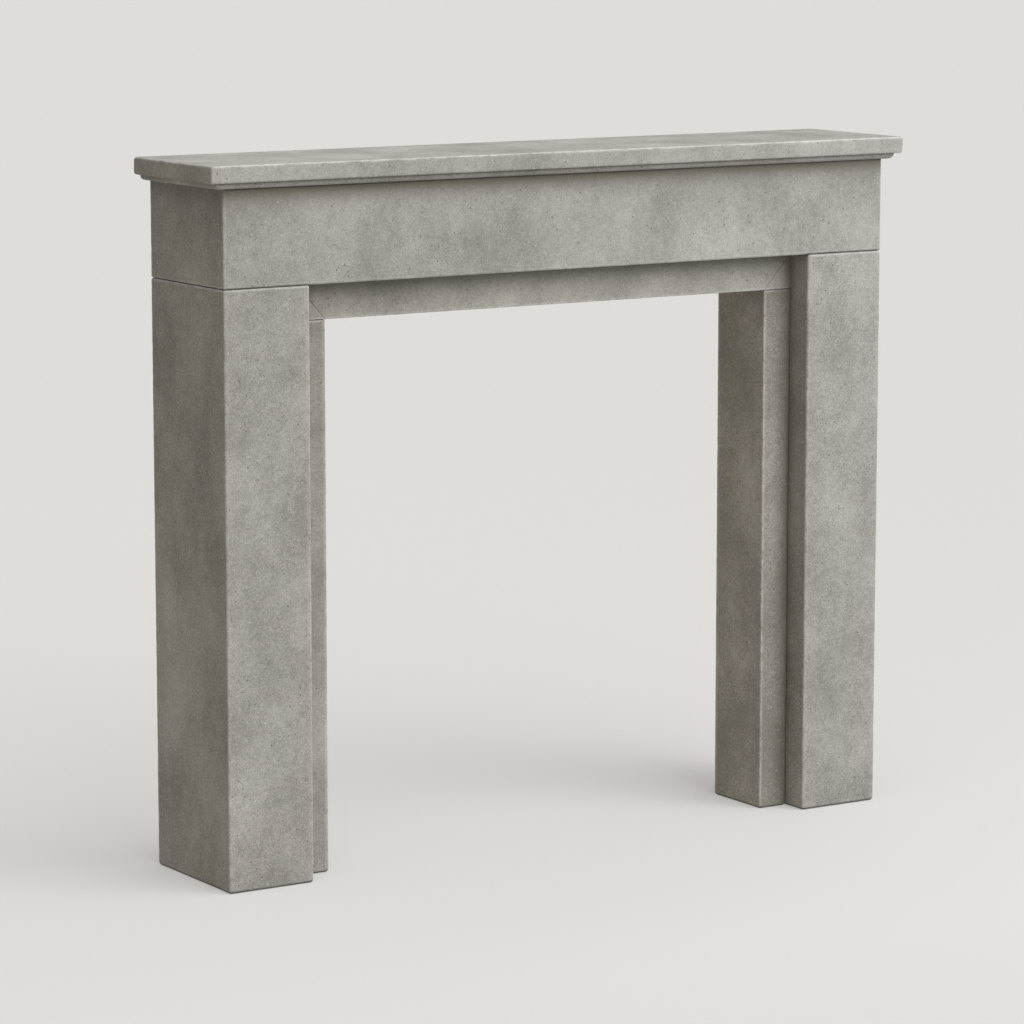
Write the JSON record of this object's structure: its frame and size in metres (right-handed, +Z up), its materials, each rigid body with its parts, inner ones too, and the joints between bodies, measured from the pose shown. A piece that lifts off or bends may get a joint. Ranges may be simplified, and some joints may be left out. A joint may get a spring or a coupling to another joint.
{
  "type": "fireplace mantelpiece",
  "caption": "Plain square cast stone fireplace mantelpiece: shelf with a bed moulding, frieze, legs, and slips set back around the fire opening.",
  "frame": {"origin": "on the floor, below the middle of the shelf", "axes": "+X along the shelf to the viewer's right, +Y from the front to the wall, +Z up"},
  "size_m": [1.362, 0.267, 1.1765],
  "materials": {
    "cast_stone": "matt warm light grey cast stone, softly mottled, finely pitted, with worn paler arrises"
  },
  "bodies": {
    "root": {"shelf": "cast_stone", "frieze": "cast_stone", "leg_left": "cast_stone", "leg_right": "cast_stone", "slip_left": "cast_stone", "slip_right": "cast_stone", "slip_head": "cast_stone"}
  },
  "joints": []
}
